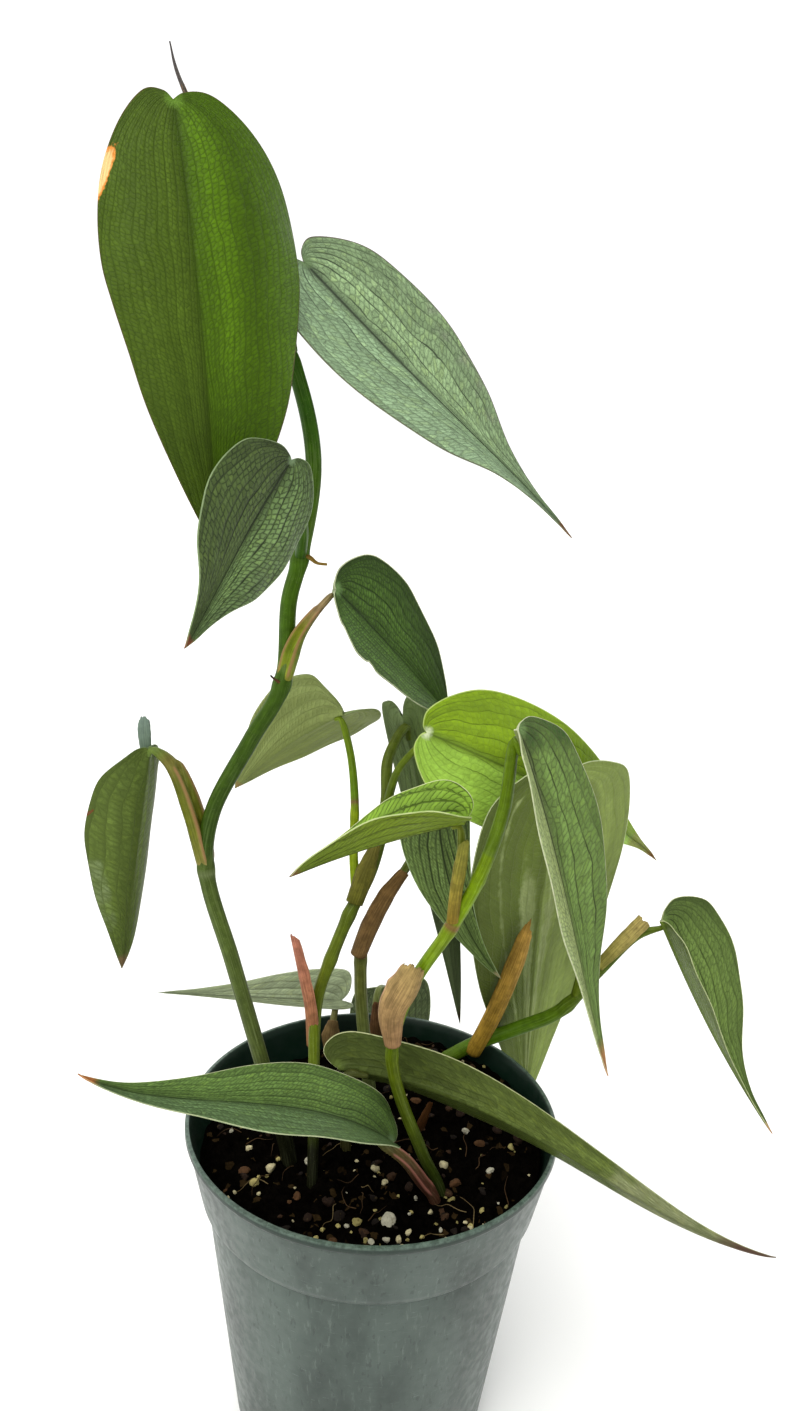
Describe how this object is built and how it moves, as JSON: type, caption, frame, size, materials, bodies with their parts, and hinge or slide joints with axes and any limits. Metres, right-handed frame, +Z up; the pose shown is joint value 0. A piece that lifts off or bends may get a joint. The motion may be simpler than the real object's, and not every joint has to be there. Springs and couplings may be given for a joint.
{
  "type": "potted philodendron",
  "caption": "Climbing philodendron with long heart-shaped leaves on slim stems, rooted in potting mix in a round plastic nursery pot.",
  "frame": {"origin": "centre of the pot's underside, on the surface that the pot stands on", "axes": "+Z up along the pot's axis, -Y towards the front of the plant, +X to the right seen from the front"},
  "size_m": [0.198, 0.1425, 0.3622],
  "materials": {
    "leaf_green": "satin green leaf",
    "leaf_silver": "satin silver-green leaf with dark veins",
    "leaf_dark": "satin dark green leaf with paler cells",
    "leaf_lime": "satin young lime-green leaf",
    "leaf_underside": "matte pale olive leaf underside",
    "stem_green": "satin green stem",
    "stem_brown": "satin brownish leaf stalk",
    "sheath_pink": "dry pink sheath",
    "sheath_olive": "dry olive sheath",
    "sheath_brown": "dry brown sheath",
    "sheath_tan": "dry tan sheath",
    "sheath_orange": "dry orange-tan sheath",
    "soil": "dark potting mix with pale grains",
    "pot_plastic": "thin dark green plastic, lightly scuffed"
  },
  "bodies": {
    "root": {"leaf_top": "leaf_green", "leaf_upper_right": "leaf_silver", "leaf_upper_small": "leaf_dark", "leaf_wavy": "leaf_dark", "leaf_lime": "leaf_lime", "leaf_front": "leaf_dark", "leaf_back_large": "leaf_underside", "leaf_folded": "leaf_lime", "leaf_dark_inner": "leaf_dark", "leaf_back_left": "leaf_underside", "leaf_narrow": "leaf_dark", "leaf_left": "leaf_underside", "leaf_right": "leaf_green", "leaf_low_left": "leaf_green", "leaf_low_right": "leaf_underside", "leaf_behind_left": "leaf_silver", "leaf_behind_pot": "leaf_dark", "leaf_rolled": "leaf_silver", "stem_tall": "stem_green", "stem_left": "stem_green", "stem_middle": "stem_green", "stem_front": "stem_green", "stem_right": "stem_green", "stalk_low_left": "stem_brown", "stalk_low_right": "stem_brown", "stalk_behind_left": "stem_brown", "stalk_behind_pot": "stem_green", "sheath_pink": "sheath_pink", "sheath_left_olive": "sheath_olive", "sheath_middle_brown": "sheath_brown", "sheath_front_tan": "sheath_tan", "sheath_front_olive": "sheath_olive", "sheath_right_orange": "sheath_orange", "sheath_right_tan": "sheath_tan", "sheath_behind_left": "sheath_brown", "sheath_behind_pot": "sheath_brown", "sheath_low": "sheath_orange", "soil": "soil", "pot": "pot_plastic"}
  },
  "joints": []
}
